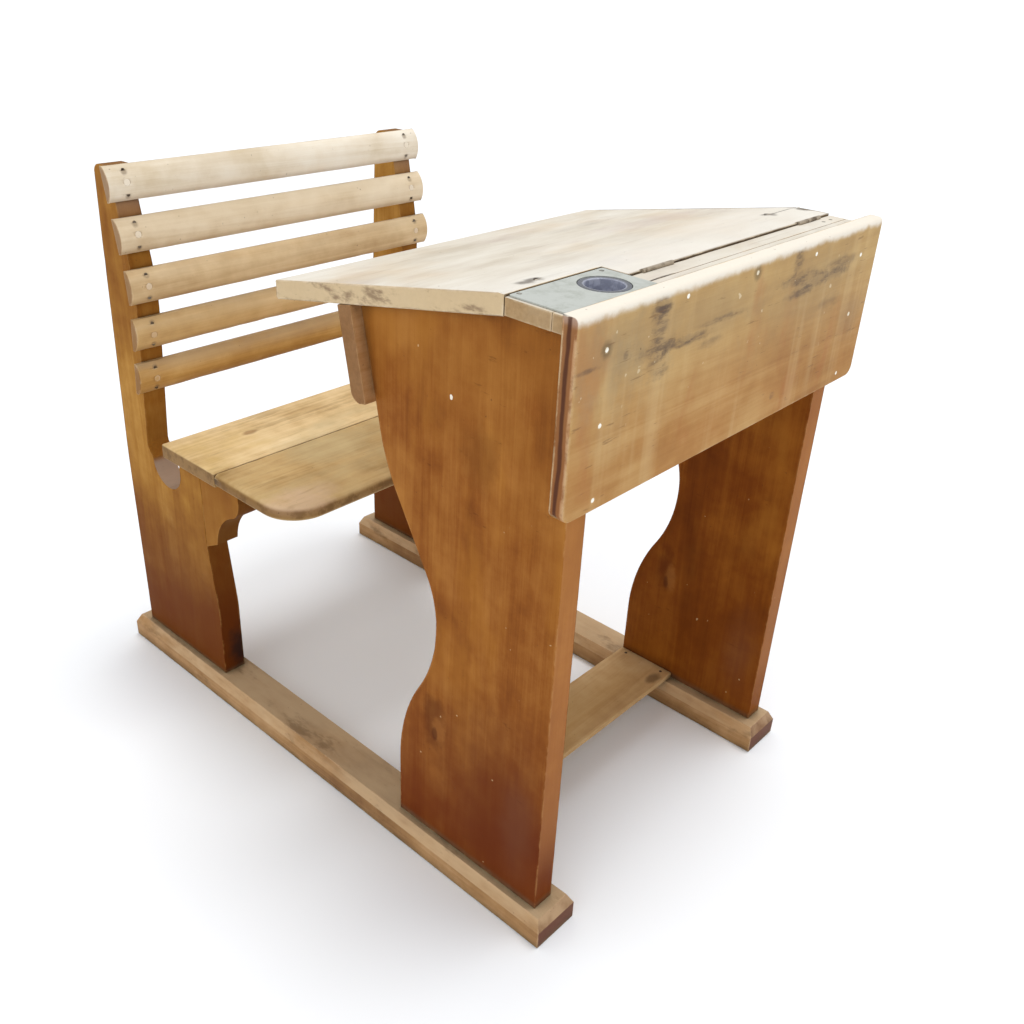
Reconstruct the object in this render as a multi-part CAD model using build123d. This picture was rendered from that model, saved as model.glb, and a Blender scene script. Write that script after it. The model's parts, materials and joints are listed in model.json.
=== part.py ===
from build123d import *

import math
import os

os.makedirs("parts", exist_ok=True)

# A wooden school desk and seat for one pupil, joined by two runners. Millimetres.
# The origin is the bottom centre of the whole object and +Z is up. The pupil faces -Y,
# so the front board is at -Y, and the pupil's right hand, with the inkwell, is at -X.

RIGHT = -1
LEFT = 1
SIDES = {"right": RIGHT, "left": LEFT}

# Board thicknesses
RUNNER_WIDTH = 65
RUNNER_HEIGHT = 38
END_THICK = 29
STANDARD_THICK = 33
FRONT_BOARD_THICK = 16.5
LID_THICK = 21.4
APRON_THICK = 20.8
SEAT_THICK = 21
SHELF_THICK = 12
FOOTREST_THICK = 9

# Widths across the object, each given as half the width
RUNNER_X = 234.5
END_INNER_X = 223
END_OUTER_X = END_INNER_X + END_THICK
END_MIDDLE_X = END_INNER_X + END_THICK / 2
STANDARD_INNER_X = END_OUTER_X - STANDARD_THICK
FRONT_BOARD_HALF = 280
LID_HALF = 266
SEAT_HALF = 262
SLAT_HALF = 263

# Runners
RUNNER_HALF_LENGTH = 432
RUNNER_CHAMFER_HIGH = 14
RUNNER_CHAMFER_WIDE = 7

# Desk
DESK_FRONT_Y = -412
FRONT_BOARD_Y = DESK_FRONT_Y - FRONT_BOARD_THICK
FRONT_BOARD_BOTTOM = 567
FRONT_BOARD_TOP = 759.5
FRONT_BOARD_CORNER_R = 13
FRONT_BOARD_TOP_R = 5.5
FRONT_BOARD_ARRIS = 2.5
RAIL_TOP = 752
RAIL_THICK = 17
RAIL_BOTTOM = RAIL_TOP - RAIL_THICK
RAIL_FRONT_Y = -389.5
RAIL_BACK_Y = -368.5
PLATE_BACK_Y = -336
NOTCH_X = -130
SHELF_BOTTOM = 594
SHELF_BACK_Y = -149
CLEAT = 18
CLEAT_Y = (-400, -165)
CLEAT_ARRIS = 1.5
FOOTREST_Y = (-276, -182)
FOOTREST_ARRIS = 2

# Lid: a slope that ends in a level strip along the hinges
LID_BACK_Y = -6
LID_BACK_TOP = 690
LID_SLOPE = 0.1989
LID_RIDGE_Y = -328
LID_FRONT_Y = -367.5
LID_NOTCH_Y = -335
LID_GAP = 0.5
BATTEN_X = 205
BATTEN_Y = (-331, -165)
BATTEN_WIDE = 30
BATTEN_HIGH = 18
BATTEN_ARRIS = 6

# Line of the apron's inner face, which the ends' back edges follow
APRON_LEAN = 0.2014
APRON_FOOT_Y = -149.3
APRON_FOOT_Z = 590.5

# Hinges
HINGE_Y = -368
HINGE_Z = 753
HINGE_X = (-85, 215)
HINGE_LENGTH = 50
LEAF_THICK = 1.2
LEAF_BOTTOM = 741.5
LEAF_TOP = 751.5
KNUCKLE_R = 2.5
KNUCKLE_GROOVE_R = 2.8
PIN_R = 1.05
PIN_HOLE_R = 1.1
KNUCKLE_LENGTH = 17.4
KNUCKLE_GAP = 0.3

# Inkwell and its plate
INKWELL_X = -171.5
INKWELL_Y = -371.5
PLATE_X = (-262, -131)
PLATE_Y = (-410, -337)
PLATE_THICK = 1.5
PLATE_CORNER_R = 2
PLATE_HOLE_R = 25.7
RIM_R = 25.3
RIM_SEAT_Z = 748
BORE_R = 22.5
POT_R = 22
POT_FOOT_R = 18.5
POT_BOTTOM = 712
POT_WALL = 3.2

# Seat
SEAT_TOP = 390
SEAT_UNDER = SEAT_TOP - SEAT_THICK
SEAT_FRONT_Y = 6
SEAT_JOINT_Y = 163.5
SEAT_JOINT_GAP = 2
SEAT_BACK_Y = 289
SEAT_CORNER_R = 55
SEAT_TOP_ARRIS = 8
SEAT_BOTTOM_ARRIS = 10
SEAT_JOINT_ARRIS = 3
CORBEL_BACK_Y = 216
HAND_NOTCH_Y = 300
HAND_NOTCH_Z = 348
HAND_NOTCH_R = 34

# Backrest: the uprights bend forward at lumbar height
LUMBAR_Y = 322
LUMBAR_Z = 590
LUMBAR_R = 250
UPRIGHT_FOOT_Y = 345
UPRIGHT_FOOT_Z = 366
LUMBAR_LOW_TILT = math.atan2(LUMBAR_Y - UPRIGHT_FOOT_Y, LUMBAR_Z - UPRIGHT_FOOT_Z)
LUMBAR_HIGH_TILT = math.atan2(351.5 - LUMBAR_Y, 748 - LUMBAR_Z)
SLAT_HEIGHT = 45
SLAT_EDGE = 5
SLAT_THICK = 14
SLAT_END_ARRIS = 1.5
SLAT_HEIGHTS = (727, 664, 600, 536, 472)
SLAT_NAIL_STEP = 15
SLAT_NAIL_LIFT = 10.5

# Fasteners
NAIL_HEAD_R = 2.3
NAIL_SHANK_R = 1.3
NAIL_HEAD_THICK = 1.2
SCREW_HEAD_R = 4
SCREW_SHANK_R = 2.2
SMALL_SCREW_HEAD_R = 2.6
SMALL_SCREW_SHANK_R = 1.3
PLUG_R = 4.2
PLUG_DEPTH = 4
DOWEL_R = 5
END_NAIL_LENGTH = 42
FILLER_NAIL_LENGTH = 32
RAIL_NAIL_LENGTH = 40
APRON_NAIL_LENGTH = 50
SLAT_NAIL_LENGTH = 34
FOOTREST_NAIL_LENGTH = 30
SLAT_SCREW_LENGTH = 32
RUNNER_SCREW_LENGTH = 75
CLEAT_SCREW_LENGTH = 38
LID_SCREW_LENGTH = 32
PLATE_SCREW_LENGTH = 13
HINGE_SCREW_LENGTH = 12
SEAT_DOWEL_LENGTH = 35
CORBEL_DOWEL_LENGTH = 44
DOWEL_DEPTH = 22


def lid_top(y):
    """Height of the lid's sloping face."""
    return LID_BACK_TOP + LID_SLOPE * (LID_BACK_Y - y)


def lid_under(y):
    return lid_top(y) - LID_THICK


def apron_line(z):
    return APRON_FOOT_Y + APRON_LEAN * (z - APRON_FOOT_Z)


def block(x, y, z):
    """A box from its (low, high) pairs on each axis."""
    size = (x[1] - x[0], y[1] - y[0], z[1] - z[0])
    middle = ((x[0] + x[1]) / 2, (y[0] + y[1]) / 2, (z[0] + z[1]) / 2)
    return Pos(*middle) * Box(*size)


def side_board(points, radii, x_low, x_high):
    """A board whose (y, z) outline is given by its corners and their radii."""
    corners = [(x_low, y, z) for y, z in points]
    outline = FilletPolyline(*corners, radius=radii, close=True)
    return extrude(make_face(Wire(outline.edges())), amount=x_high - x_low, dir=(1, 0, 0))


def flat_board(x, y, z, edge):
    """A board with all its arrises eased."""
    return fillet(block(x, y, z).edges(), edge)


def span(side, inner, outer):
    """The (low, high) pair of a stretch at the given side."""
    return tuple(sorted((side * inner, side * outer)))


def rod_along(point, direction, radius, length):
    """A cylinder that starts at a point."""
    return Plane(origin=point, z_dir=direction) * Pos(0, 0, length / 2) * Cylinder(radius, length)


def nail(point, direction, length):
    """A round-headed wire nail, its head flush with the face."""
    head = rod_along(point, direction, NAIL_HEAD_R, NAIL_HEAD_THICK)
    return head + rod_along(point, direction, NAIL_SHANK_R, length)


def screw(point, direction, length, head_r=SCREW_HEAD_R, shank_r=SCREW_SHANK_R):
    """A countersunk wood screw with a slot across its head."""
    cone_height = head_r - shank_r
    plane = Plane(origin=point, z_dir=direction)
    cone = plane * Pos(0, 0, cone_height / 2) * Cone(head_r, shank_r, cone_height)
    slot = plane * Box(2 * head_r, 0.25 * head_r, 0.5 * head_r)
    return cone + rod_along(point, direction, shank_r, length) - slot


def drive(parts, names, fasteners):
    """Cuts the holes that the fasteners fill."""
    for name in names:
        parts[name] = parts[name] - fasteners


def runner(side):
    width = RUNNER_WIDTH
    length = 2 * RUNNER_HALF_LENGTH
    straight = RUNNER_HEIGHT - RUNNER_CHAMFER_HIGH
    taper = math.degrees(math.atan2(RUNNER_CHAMFER_WIDE, RUNNER_CHAMFER_HIGH))
    place = Pos(side * RUNNER_X, 0, 0)
    lower = extrude(Rectangle(width, length), amount=straight)
    upper = Pos(0, 0, straight) * extrude(Rectangle(width, length), amount=RUNNER_CHAMFER_HIGH, taper=taper)
    return place * (lower + upper)


def desk_end(side):
    """An end with a waist at the pupil's knees and a top that carries the lid."""
    step_y = PLATE_BACK_Y - LID_GAP if side == RIGHT else RAIL_BACK_Y
    top_back_z = lid_under(apron_line(LID_BACK_TOP)) - LID_GAP
    points = [
        (DESK_FRONT_Y, RUNNER_HEIGHT),
        (-183, RUNNER_HEIGHT),
        (-183, 194.6),
        (-243, 298.6),
        (-243, 384.7),
        (apron_line(524), 524),
        (apron_line(top_back_z), top_back_z),
        (step_y, lid_under(step_y) - LID_GAP),
        (step_y, RAIL_BOTTOM),
        (DESK_FRONT_Y, RAIL_BOTTOM),
    ]
    radii = [0, 0, 255, 188, 126, 230, 0, 0, 0, 0]
    return side_board(points, radii, *span(side, END_INNER_X, END_OUTER_X))


def front_board():
    half = FRONT_BOARD_HALF
    board = block((-half, half), (FRONT_BOARD_Y, DESK_FRONT_Y), (FRONT_BOARD_BOTTOM, FRONT_BOARD_TOP))
    corners = board.edges().filter_by(Axis.Y).group_by(Axis.Z)[0]
    board = fillet(corners, FRONT_BOARD_CORNER_R)
    face = board.faces().sort_by(Axis.Y)[0]
    top_arris = face.edges().sort_by(Axis.Z)[-1]
    board = fillet(top_arris, FRONT_BOARD_TOP_R)
    rest = board.faces().sort_by(Axis.Y)[0].edges().sort_by(Axis.Z)[:-1]
    return fillet(rest, FRONT_BOARD_ARRIS)


def apron():
    """Closes the book box on the pupil's side, under the lid."""
    top_in = lid_under(apron_line(LID_BACK_TOP)) - LID_GAP
    top_out_y = apron_line(LID_BACK_TOP) + APRON_THICK
    top_out = lid_under(top_out_y) - LID_GAP
    foot_out_y = APRON_FOOT_Y + APRON_THICK
    points = [
        (APRON_FOOT_Y, APRON_FOOT_Z),
        (foot_out_y, APRON_FOOT_Z - APRON_LEAN * APRON_THICK),
        (top_out_y, top_out),
        (apron_line(top_in), top_in),
    ]
    return side_board(points, [2, 14, 2, 0], -LID_HALF, LID_HALF)


def inkwell_bore():
    """The stepped hole that the inkwell hangs in."""
    bore = Pos(INKWELL_X, INKWELL_Y, RAIL_TOP) * Cylinder(BORE_R, 3 * RAIL_THICK)
    ledge_height = 2 * (RAIL_TOP - RIM_SEAT_Z)
    return bore + Pos(INKWELL_X, INKWELL_Y, RAIL_TOP) * Cylinder(PLATE_HOLE_R, ledge_height)


def top_rail():
    height = (RAIL_BOTTOM, RAIL_TOP)
    narrow = block((-LID_HALF, LID_HALF), (RAIL_FRONT_Y, RAIL_BACK_Y), height)
    wide = block((-LID_HALF, NOTCH_X - 0.5), (RAIL_FRONT_Y, PLATE_BACK_Y), height)
    return narrow + wide - inkwell_bore()


def rail_filler():
    strip = block((-LID_HALF, LID_HALF), (DESK_FRONT_Y, RAIL_FRONT_Y), (RAIL_BOTTOM, RAIL_TOP))
    return strip - inkwell_bore()


def book_shelf():
    half = END_INNER_X
    return block((-half, half), (DESK_FRONT_Y, SHELF_BACK_Y), (SHELF_BOTTOM, SHELF_BOTTOM + SHELF_THICK))


def shelf_cleat(side):
    x = span(side, END_INNER_X - CLEAT, END_INNER_X)
    return flat_board(x, CLEAT_Y, (SHELF_BOTTOM - CLEAT, SHELF_BOTTOM), CLEAT_ARRIS)


def inkwell_plate():
    top = RAIL_TOP + PLATE_THICK
    plate = block(PLATE_X, PLATE_Y, (RAIL_TOP, top))
    plate = fillet(plate.edges().filter_by(Axis.Z), PLATE_CORNER_R)
    return plate - inkwell_bore()


def inkwell():
    """A glazed pot that hangs by its rim, with a dished top round its dipping hole."""
    rim_bottom = RIM_SEAT_Z + 0.1
    rim_top = RAIL_TOP + PLATE_THICK - 0.2
    inner_r = POT_R - POT_WALL
    profile = Polyline(
        (0, POT_BOTTOM),
        (POT_FOOT_R, POT_BOTTOM),
        (POT_R, POT_BOTTOM + 8),
        (POT_R, rim_bottom),
        (RIM_R, rim_bottom),
        (RIM_R, rim_top),
        (inner_r, rim_top),
        (inner_r, POT_BOTTOM + 10),
        (POT_FOOT_R - POT_WALL, POT_BOTTOM + POT_WALL),
        (0, POT_BOTTOM + POT_WALL),
        close=True,
    )
    section = Plane.XZ * make_face(profile)
    pot = revolve(section, Axis.Z)
    rims = pot.edges().filter_by(GeomType.CIRCLE).group_by(Axis.Z)[-1]
    return Pos(INKWELL_X, INKWELL_Y, 0) * fillet(rims, 1.2)


def lid():
    """A sloping board with a level strip at the hinges and a notch for the inkwell plate."""
    ridge_z = lid_top(LID_RIDGE_Y)
    points = [
        (LID_BACK_Y, LID_BACK_TOP),
        (LID_RIDGE_Y, ridge_z),
        (LID_FRONT_Y, ridge_z),
        (LID_FRONT_Y, lid_under(LID_FRONT_Y)),
        (LID_BACK_Y, lid_under(LID_BACK_Y)),
    ]
    board = side_board(points, [4, 20, 0, 0, 4], -LID_HALF, LID_HALF)
    notch = block((-LID_HALF - 1, NOTCH_X), (LID_FRONT_Y - 1, LID_NOTCH_Y), (700, 800))
    return board - notch


def lid_batten(side):
    """A strip across the lid's underside that keeps it flat."""
    front_y, back_y = BATTEN_Y
    points = [
        (front_y, lid_under(front_y)),
        (back_y, lid_under(back_y)),
        (back_y, lid_under(back_y) - BATTEN_HIGH),
        (front_y, lid_under(front_y) - BATTEN_HIGH),
    ]
    half = BATTEN_WIDE / 2
    middle = side * BATTEN_X
    return side_board(points, [0, 0, BATTEN_ARRIS, BATTEN_ARRIS], middle - half, middle + half)


def knuckles(x, spans, hole_r):
    """Rolled barrels on the hinge axis over the given (start, length) stretches."""
    barrels = []
    for start, length in spans:
        point = (x + start, HINGE_Y, HINGE_Z)
        barrel = rod_along(point, (1, 0, 0), KNUCKLE_R, length)
        barrels.append(barrel - rod_along(point, (1, 0, 0), hole_r, length))
    return barrels


def hinge_spans():
    """Stretches of the outer and the middle knuckles, measured from the hinge's middle."""
    outer = (HINGE_LENGTH - KNUCKLE_LENGTH) / 2 - KNUCKLE_GAP
    outer_spans = [(-HINGE_LENGTH / 2, outer), (HINGE_LENGTH / 2 - outer, outer)]
    middle_spans = [(-KNUCKLE_LENGTH / 2, KNUCKLE_LENGTH)]
    return outer_spans, middle_spans


def leaf_box(x, side_y):
    """The flat part of a leaf: side_y is +1 on the lid and -1 on the rail."""
    face_y = LID_FRONT_Y if side_y > 0 else RAIL_BACK_Y
    y = tuple(sorted((face_y, face_y + side_y * LEAF_THICK)))
    return block((x - HINGE_LENGTH / 2, x + HINGE_LENGTH / 2), y, (LEAF_BOTTOM, LEAF_TOP))


def hinge_leaf(x, side_y):
    outer_spans, middle_spans = hinge_spans()
    own, other = (middle_spans, outer_spans) if side_y > 0 else (outer_spans, middle_spans)
    leaf = leaf_box(x, side_y)
    for start, length in other:
        point = (x + start - KNUCKLE_GAP, HINGE_Y, HINGE_Z)
        leaf = leaf - rod_along(point, (1, 0, 0), KNUCKLE_GROOVE_R, length + 2 * KNUCKLE_GAP)
    leaf = leaf - rod_along((x - HINGE_LENGTH, HINGE_Y, HINGE_Z), (1, 0, 0), PIN_HOLE_R, 2 * HINGE_LENGTH)
    for barrel in knuckles(x, own, PIN_HOLE_R if side_y > 0 else PIN_R):
        leaf = leaf + barrel
    return leaf


def hinge_pin(x):
    start = (x - HINGE_LENGTH / 2, HINGE_Y, HINGE_Z)
    return rod_along(start, (1, 0, 0), PIN_R, HINGE_LENGTH)


def hinge_seat(x, side_y):
    """The wood cut away for one leaf and for the knuckles."""
    start = (x - HINGE_LENGTH / 2 - KNUCKLE_GAP, HINGE_Y, HINGE_Z)
    groove = rod_along(start, (1, 0, 0), KNUCKLE_GROOVE_R, HINGE_LENGTH + 2 * KNUCKLE_GAP)
    return leaf_box(x, side_y) + groove


def hinge_screws(x, side_y):
    """Three countersunk screws through one leaf."""
    face_y = LID_FRONT_Y if side_y > 0 else RAIL_BACK_Y
    places = [(x + step, face_y, 745.5) for step in (-17, 0, 17)]
    inward = (0, side_y, 0)
    return [
        screw(place, inward, HINGE_SCREW_LENGTH, SMALL_SCREW_HEAD_R, SMALL_SCREW_SHANK_R)
        for place in places
    ]


def chair_standard(side):
    """A seat end that rises behind a round notch to carry the backrest."""
    notch_front = HAND_NOTCH_Y - HAND_NOTCH_R
    notch_back = HAND_NOTCH_Y + HAND_NOTCH_R
    notch_bottom = HAND_NOTCH_Z - HAND_NOTCH_R
    points = [
        (202, RUNNER_HEIGHT),
        (202, 150),
        (CORBEL_BACK_Y, 250),
        (CORBEL_BACK_Y, SEAT_UNDER),
        (notch_front, SEAT_UNDER),
        (notch_front, notch_bottom),
        (notch_back, notch_bottom),
        (notch_back, HAND_NOTCH_Z + 1),
        (UPRIGHT_FOOT_Y, UPRIGHT_FOOT_Z),
        (LUMBAR_Y, LUMBAR_Z),
        (351.5, 748),
        (386, 747),
        (391, 660),
        (406, 330),
        (406, RUNNER_HEIGHT),
    ]
    corner = HAND_NOTCH_R - 0.2
    radii = [0, 120, 0, 0, 0, corner, corner, 0, 8, LUMBAR_R, 5, 14, 300, 600, 0]
    return side_board(points, radii, *span(side, STANDARD_INNER_X, END_OUTER_X))


def seat_corbel(side):
    """A bracket with a hollow and a round nose under the seat's front."""
    x_low, x_high = span(side, STANDARD_INNER_X, END_OUTER_X)

    def at(y, z):
        return (x_low, y, z)

    hollow = ThreePointArc(at(188, 268), at(176, 302), at(150, 325))
    nose = ThreePointArc(at(150, 325), at(134, 336), at(128, 356))
    back = (at(128, SEAT_UNDER), at(CORBEL_BACK_Y, SEAT_UNDER), at(CORBEL_BACK_Y, 253))
    straights = Polyline(at(128, 356), *back, at(188, 268))
    outline = Wire([hollow, nose, *straights.edges()])
    return extrude(make_face(outline), amount=x_high - x_low, dir=(1, 0, 0))


def seat_plank_front():
    y = (SEAT_FRONT_Y, SEAT_JOINT_Y - SEAT_JOINT_GAP / 2)
    plank = block((-SEAT_HALF, SEAT_HALF), y, (SEAT_UNDER, SEAT_TOP))
    corners = plank.edges().filter_by(Axis.Z).group_by(Axis.Y)[0]
    plank = fillet(corners, SEAT_CORNER_R)
    top = plank.faces().sort_by(Axis.Z)[-1]
    front_top = top.edges().sort_by(Axis.Y)[:-1]
    plank = fillet(front_top, SEAT_TOP_ARRIS)
    bottom = plank.faces().sort_by(Axis.Z)[0]
    return fillet(bottom.edges().sort_by(Axis.Y)[:-1], SEAT_BOTTOM_ARRIS)


def seat_plank_rear():
    y = (SEAT_JOINT_Y + SEAT_JOINT_GAP / 2, SEAT_BACK_Y)
    return flat_board((-SEAT_HALF, SEAT_HALF), y, (SEAT_UNDER, SEAT_TOP), SEAT_JOINT_ARRIS)


def lumbar_edge(z):
    """Place and tilt of the uprights' front edge at a height."""
    half_turn = (LUMBAR_HIGH_TILT - LUMBAR_LOW_TILT) / 2
    bisector = (LUMBAR_HIGH_TILT + LUMBAR_LOW_TILT) / 2
    reach = LUMBAR_R / math.cos(half_turn)
    centre_y = LUMBAR_Y + reach * math.cos(bisector)
    centre_z = LUMBAR_Z - reach * math.sin(bisector)
    tilt = math.asin((z - centre_z) / LUMBAR_R)
    if LUMBAR_LOW_TILT < tilt < LUMBAR_HIGH_TILT:
        return centre_y - LUMBAR_R * math.cos(tilt), tilt
    straight_tilt = LUMBAR_HIGH_TILT if z > LUMBAR_Z else LUMBAR_LOW_TILT
    return LUMBAR_Y + (z - LUMBAR_Z) * math.tan(straight_tilt), straight_tilt


def slat_plane(z):
    """Plane on a slat's back, with local X along the slat and local Z towards the sitter."""
    y, tilt = lumbar_edge(z)
    return Plane(origin=(0, y, z), x_dir=(1, 0, 0), z_dir=(0, -math.cos(tilt), math.sin(tilt)))


def back_slat(z):
    half = SLAT_HEIGHT / 2
    flat_sides = Polyline((SLAT_EDGE, half), (0, half), (0, -half), (SLAT_EDGE, -half))
    crown = ThreePointArc((SLAT_EDGE, -half), (SLAT_THICK, 0), (SLAT_EDGE, half))
    section = make_face(Wire([*flat_sides.edges(), crown]))
    bar = extrude(Plane.YZ.offset(-SLAT_HALF) * section, amount=2 * SLAT_HALF)
    bar = fillet(bar.faces().filter_by(Axis.X).edges(), SLAT_END_ARRIS)
    y, tilt = lumbar_edge(z)
    return Pos(0, y, z) * Rot(X=-math.degrees(tilt)) * Rot(Z=180) * bar


def slat_fasteners():
    """Nails near each slat's edges, and a plugged screw at its middle, on both uprights."""
    nails = []
    plugs = []
    screws = []
    for z in SLAT_HEIGHTS:
        plane = slat_plane(z)
        inward = -plane.z_dir
        for side in SIDES.values():
            middle_x = side * END_MIDDLE_X
            for offset in (-SLAT_NAIL_STEP, SLAT_NAIL_STEP):
                head = plane.from_local_coords((middle_x, offset, SLAT_NAIL_LIFT))
                nails.append(nail(head, inward, SLAT_NAIL_LENGTH))
            crown = plane.from_local_coords((middle_x, 0, SLAT_THICK))
            plugs.append(rod_along(crown, inward, PLUG_R, PLUG_DEPTH))
            deep = plane.from_local_coords((middle_x, 0, SLAT_THICK - PLUG_DEPTH))
            screws.append(screw(deep, inward, SLAT_SCREW_LENGTH))
    return nails, plugs, screws


def footrest():
    half = END_INNER_X
    z = (RUNNER_HEIGHT, RUNNER_HEIGHT + FOOTREST_THICK)
    return flat_board((-half, half), FOOTREST_Y, z, FOOTREST_ARRIS)


def front_board_nails():
    into_ends = [(side * END_MIDDLE_X, z) for side in SIDES.values() for z in (723, 653, 579)]
    into_filler = [(2.5, 745), (-120, 746), (124, 743)]
    inward = (0, 1, 0)
    long_nails = [nail((x, FRONT_BOARD_Y, z), inward, END_NAIL_LENGTH) for x, z in into_ends]
    short_nails = [nail((x, FRONT_BOARD_Y, z), inward, FILLER_NAIL_LENGTH) for x, z in into_filler]
    return long_nails + short_nails


def apron_nails():
    lean = math.atan(APRON_LEAN)
    inward = (0, -math.cos(lean), math.sin(lean))
    across = APRON_THICK * math.cos(lean)
    nails = []
    for side in SIDES.values():
        for z in (620, 660):
            face_y = apron_line(z) + across * math.cos(lean)
            face_z = z - across * math.sin(lean)
            nails.append(nail((side * END_MIDDLE_X, face_y, face_z), inward, APRON_NAIL_LENGTH))
    return nails


def runner_screws():
    """Long screws that come up through the runners into the ends and the standards."""
    places = [-390, -300, -205, 225, 300, 385]
    return [
        screw((side * END_MIDDLE_X, y, 0), (0, 0, 1), RUNNER_SCREW_LENGTH)
        for side in SIDES.values()
        for y in places
    ]


def rail_nails():
    down = (0, 0, -1)
    return [nail((x, y, RAIL_TOP), down, RAIL_NAIL_LENGTH) for x in (229, 246) for y in (-380, -400)]


def plate_screws():
    places = [(-253, -341), (-139.5, -343), (-257, -404), (-141, -405)]
    top = RAIL_TOP + PLATE_THICK
    return [
        screw((x, y, top), (0, 0, -1), PLATE_SCREW_LENGTH, SMALL_SCREW_HEAD_R, SMALL_SCREW_SHANK_R)
        for x, y in places
    ]


def footrest_nails():
    top = RUNNER_HEIGHT + FOOTREST_THICK
    return [
        nail((side * 213, y, top), (0, 0, -1), FOOTREST_NAIL_LENGTH)
        for side in SIDES.values()
        for y in (-262, -196)
    ]


def cleat_screws():
    z = SHELF_BOTTOM - CLEAT / 2
    return [
        screw((side * (END_INNER_X - CLEAT), y, z), (side, 0, 0), CLEAT_SCREW_LENGTH)
        for side in SIDES.values()
        for y in (-380, -283, -185)
    ]


def seat_dowels():
    """Blind dowels between the seat planks and the wood that carries them."""
    return [
        rod_along((side * END_MIDDLE_X, y, SEAT_UNDER - DOWEL_DEPTH), (0, 0, 1), DOWEL_R, SEAT_DOWEL_LENGTH)
        for side in SIDES.values()
        for y in (142, 190, 245)
    ]


def corbel_dowels():
    y = CORBEL_BACK_Y - DOWEL_DEPTH
    return [
        rod_along((side * END_MIDDLE_X, y, z), (0, 1, 0), DOWEL_R, CORBEL_DOWEL_LENGTH)
        for side in SIDES.values()
        for z in (285, 325)
    ]


def lid_screws():
    """Two screws down through the lid, and two up through each batten."""
    screws = []
    for side in SIDES.values():
        x = side * BATTEN_X
        screws.append(screw((x, -320, lid_top(-320)), (0, 0, -1), LID_SCREW_LENGTH))
        for y in (-265, -190):
            bottom = lid_under(y) - BATTEN_HIGH
            screws.append(screw((x, y, bottom), (0, 0, 1), LID_SCREW_LENGTH))
    return screws


def build():
    parts = {}
    for name, side in SIDES.items():
        parts["runner_" + name] = runner(side)
        parts["desk_end_" + name] = desk_end(side)
        parts["shelf_cleat_" + name] = shelf_cleat(side)
        parts["chair_standard_" + name] = chair_standard(side)
        parts["seat_corbel_" + name] = seat_corbel(side)
        parts["lid_batten_" + name] = lid_batten(side)
    parts["front_board"] = front_board()
    parts["apron"] = apron()
    parts["top_rail"] = top_rail()
    parts["rail_filler"] = rail_filler()
    parts["book_shelf"] = book_shelf()
    parts["inkwell_plate"] = inkwell_plate()
    parts["inkwell"] = inkwell()
    parts["seat_plank_front"] = seat_plank_front()
    parts["seat_plank_rear"] = seat_plank_rear()
    parts["footrest"] = footrest()
    parts["lid"] = lid()
    slats = []
    for number, z in enumerate(SLAT_HEIGHTS, start=1):
        slats.append("back_slat_%d" % number)
        parts[slats[-1]] = back_slat(z)

    for name, x in zip(SIDES, HINGE_X):
        parts["lid"] = parts["lid"] - hinge_seat(x, 1)
        parts["top_rail"] = parts["top_rail"] - hinge_seat(x, -1)
        parts["hinge_lid_leaf_" + name] = hinge_leaf(x, 1)
        parts["hinge_rail_leaf_" + name] = hinge_leaf(x, -1)
        parts["hinge_pin_" + name] = hinge_pin(x)

    runners = ["runner_right", "runner_left"]
    ends = ["desk_end_right", "desk_end_left"]
    standards = ["chair_standard_right", "chair_standard_left"]
    corbels = ["seat_corbel_right", "seat_corbel_left"]
    cleats = ["shelf_cleat_right", "shelf_cleat_left"]
    battens = ["lid_batten_right", "lid_batten_left"]
    lid_leaves = ["hinge_lid_leaf_right", "hinge_lid_leaf_left"]
    rail_leaves = ["hinge_rail_leaf_right", "hinge_rail_leaf_left"]
    slat_nails, slat_plugs, slat_screws = slat_fasteners()
    lid_hinge_screws = [one for x in HINGE_X for one in hinge_screws(x, 1)]
    rail_hinge_screws = [one for x in HINGE_X for one in hinge_screws(x, -1)]
    groups = {
        "front_board_nails": (front_board_nails(), ["front_board", "rail_filler", *ends]),
        "apron_nails": (apron_nails(), ["apron", *ends]),
        "runner_screws": (runner_screws(), [*runners, *ends, *standards]),
        "rail_nails": (rail_nails(), ["top_rail", "rail_filler", *ends]),
        "plate_screws": (plate_screws(), ["inkwell_plate", "top_rail", "rail_filler"]),
        "footrest_nails": (footrest_nails(), ["footrest", *runners]),
        "cleat_screws": (cleat_screws(), [*cleats, *ends]),
        "seat_dowels": (seat_dowels(), ["seat_plank_front", "seat_plank_rear", *corbels, *standards]),
        "corbel_dowels": (corbel_dowels(), [*corbels, *standards]),
        "slat_nails": (slat_nails, [*slats, *standards]),
        "slat_plugs": (slat_plugs, slats),
        "slat_screws": (slat_screws, [*slats, *standards]),
        "lid_screws": (lid_screws(), ["lid", *battens]),
        "hinge_lid_screws": (lid_hinge_screws, [*lid_leaves, "lid"]),
        "hinge_rail_screws": (rail_hinge_screws, [*rail_leaves, "top_rail"]),
    }
    for name, (fasteners, boards) in groups.items():
        drive(parts, boards, fasteners)
        parts[name] = Compound(children=fasteners)
    return parts


for node, shape in build().items():
    export_step(shape, "parts/%s.step" % node)
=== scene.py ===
import json
import math

import bmesh
import bpy
from mathutils import Matrix, Vector, noise


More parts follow.
